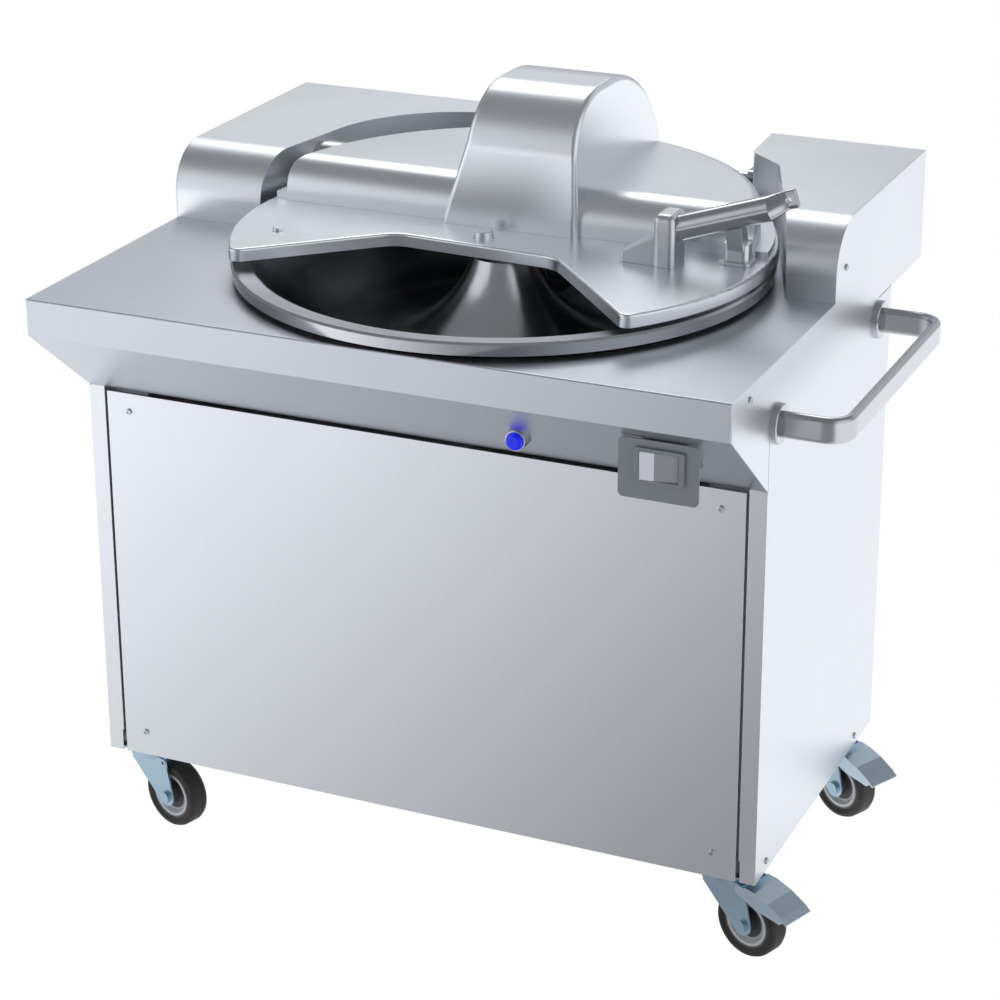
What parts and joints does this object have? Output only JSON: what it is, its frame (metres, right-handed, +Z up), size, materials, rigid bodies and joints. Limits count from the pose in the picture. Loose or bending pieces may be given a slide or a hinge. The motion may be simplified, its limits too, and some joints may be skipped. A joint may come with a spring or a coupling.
{
  "type": "meat bowl cutter",
  "caption": "Floor-standing bowl cutter with a turning annular bowl, sickle knives under a hinged lid, a steel cabinet, a side push handle and braked castors.",
  "frame": {"origin": "on the floor, in the middle of the machine's overall width and depth", "axes": "+X to the machine's right as the operator faces it, +Y to the rear, +Z up"},
  "size_m": [1.0996, 0.823, 1.108],
  "materials": {
    "stainless_satin": "fine brushed grain",
    "stainless_lid": "satin",
    "bowl_steel": "turned, semi polished",
    "blade_steel": "ground and polished",
    "cast_aluminium": "cast",
    "motor_paint": "hammered enamel",
    "cast_iron": "machined faces",
    "zinc_plated": "bright zinc plate",
    "bright_steel": "bright",
    "belt_rubber": "ribbed",
    "tyre_rubber": "matt",
    "wheel_core": "moulded",
    "box_paint": "powder coat",
    "switch_grey": "satin",
    "rocker_plastic": "gloss",
    "blue_lens": "translucent",
    "gland_plastic": "matt"
  },
  "bodies": {
    "frame": {"base_tray": "stainless_satin", "bowl_bearing_housing": "cast_iron", "bowl_carrier": "stainless_satin", "bowl_gearmotor": "motor_paint", "button_bezel": "bright_steel", "cable_gland": "gland_plastic", "castor_bolts": "bright_steel", "castor_plates": "zinc_plated", "drive_belt": "belt_rubber", "electrical_box": "box_paint", "front_panel": "stainless_satin", "handle_flanges": "stainless_satin", "hood_left": "stainless_satin", "hood_right": "stainless_satin", "knife_bearings": "bright_steel", "knife_sleeve": "stainless_satin", "lid_hinge_brackets": "stainless_satin", "lid_hinge_shaft": "bright_steel", "main_motor": "motor_paint", "panel_screws": "bright_steel", "push_handle": "stainless_satin", "rear_panel": "stainless_satin", "side_panel_left": "stainless_satin", "side_panel_right": "stainless_satin", "switch_plate": "switch_grey", "worktop": "stainless_satin"},
    "bowl": {"bowl": "bowl_steel", "bowl_nut": "bright_steel", "bowl_spindle": "bright_steel"},
    "knife_head": {"knife_shaft": "bright_steel", "knife_pulley": "cast_iron", "knives": "blade_steel", "knife_spacers": "bright_steel", "knife_nut": "bright_steel"},
    "motor_rotor": {"motor_pulley": "cast_iron"},
    "lid": {"lid_plate": "stainless_lid", "lid_cover": "stainless_lid", "knife_hood": "stainless_lid", "lid_handle_tube": "stainless_satin", "lid_handle_socket": "cast_aluminium", "lid_handle_stand": "cast_aluminium", "lid_plugs": "stainless_lid", "lid_hinge_arms": "stainless_satin"},
    "rocker": {"rocker": "rocker_plastic"},
    "push_button": {"button_cap": "blue_lens"},
    "front_left_swivel": {"castor_front_left_fork": "zinc_plated"},
    "front_left_wheel": {"castor_front_left_wheel": "wheel_core", "castor_front_left_tyre": "tyre_rubber"},
    "front_right_swivel": {"castor_front_right_fork": "zinc_plated"},
    "front_right_wheel": {"castor_front_right_wheel": "wheel_core", "castor_front_right_tyre": "tyre_rubber"},
    "front_right_pedal": {"castor_front_right_pedal": "zinc_plated"},
    "rear_left_swivel": {"castor_rear_left_fork": "zinc_plated"},
    "rear_left_wheel": {"castor_rear_left_wheel": "wheel_core", "castor_rear_left_tyre": "tyre_rubber"},
    "rear_right_swivel": {"castor_rear_right_fork": "zinc_plated"},
    "rear_right_wheel": {"castor_rear_right_wheel": "wheel_core", "castor_rear_right_tyre": "tyre_rubber"},
    "rear_right_pedal": {"castor_rear_right_pedal": "zinc_plated"}
  },
  "joints": [
    {"name": "bowl_spin", "type": "hinge", "parent": "frame", "child": "bowl", "pos_m": [-0.0112, -0.0375, 0.865], "axis": [0, 0, 1], "continuous": true},
    {"name": "knife_spin", "type": "hinge", "parent": "frame", "child": "knife_head", "pos_m": [-0.0112, 0.1475, 0.927], "axis": [1, 0, 0], "continuous": true},
    {"name": "motor_spin", "type": "hinge", "parent": "frame", "child": "motor_rotor", "pos_m": [-0.5112, 0.1475, 0.302], "axis": [1, 0, 0], "continuous": true},
    {"name": "lid_open", "type": "hinge", "parent": "frame", "child": "lid", "pos_m": [-0.0112, 0.3675, 0.909], "axis": [-1, 0, 0], "range_deg": [0, 80]},
    {"name": "rocker_tilt", "type": "hinge", "parent": "frame", "child": "rocker", "pos_m": [0.3528, -0.3835, 0.76], "axis": [0, 0, -1], "range_deg": [0, 10]},
    {"name": "button_press", "type": "slide", "parent": "frame", "child": "push_button", "axis": [0, 1, 0], "range_m": [0, 0.003], "stiffness_N_per_m": 250, "springref_m": -0.002},
    {"name": "front_left_swivel_turn", "type": "hinge", "parent": "frame", "child": "front_left_swivel", "pos_m": [-0.4972, -0.2135, 0.12], "axis": [0, 0, 1], "continuous": true},
    {"name": "front_left_wheel_roll", "type": "hinge", "parent": "front_left_swivel", "child": "front_left_wheel", "pos_m": [-0.46086, -0.22461, 0.05], "axis": [0.2924, 0.9563, 0], "continuous": true},
    {"name": "front_right_swivel_turn", "type": "hinge", "parent": "frame", "child": "front_right_swivel", "pos_m": [0.4028, -0.2135, 0.12], "axis": [0, 0, 1], "continuous": true},
    {"name": "front_right_wheel_roll", "type": "hinge", "parent": "front_right_swivel", "child": "front_right_wheel", "pos_m": [0.43851, -0.2265, 0.05], "axis": [0.342, 0.9397, 0], "continuous": true},
    {"name": "front_right_brake", "type": "hinge", "parent": "front_right_swivel", "child": "front_right_pedal", "pos_m": [0.43475, -0.22513, 0.104], "axis": [0.342, 0.9397, 0], "range_deg": [0, 8]},
    {"name": "rear_left_swivel_turn", "type": "hinge", "parent": "frame", "child": "rear_left_swivel", "pos_m": [-0.4972, 0.2125, 0.12], "axis": [0, 0, 1], "continuous": true},
    {"name": "rear_left_wheel_roll", "type": "hinge", "parent": "rear_left_swivel", "child": "rear_left_wheel", "pos_m": [-0.46033, 0.20331, 0.05], "axis": [0.2419, 0.9703, 0], "continuous": true},
    {"name": "rear_right_swivel_turn", "type": "hinge", "parent": "frame", "child": "rear_right_swivel", "pos_m": [0.4028, 0.2125, 0.12], "axis": [0, 0, 1], "continuous": true},
    {"name": "rear_right_wheel_roll", "type": "hinge", "parent": "rear_right_swivel", "child": "rear_right_wheel", "pos_m": [0.43695, 0.19584, 0.05], "axis": [0.4384, 0.8988, 0], "continuous": true},
    {"name": "rear_right_brake", "type": "hinge", "parent": "rear_right_swivel", "child": "rear_right_pedal", "pos_m": [0.43336, 0.19759, 0.104], "axis": [0.4384, 0.8988, 0], "range_deg": [0, 8]}
  ],
  "couplings": [
    {"joint": "motor_spin", "follows": "knife_spin", "ratio": 0.66667}
  ]
}
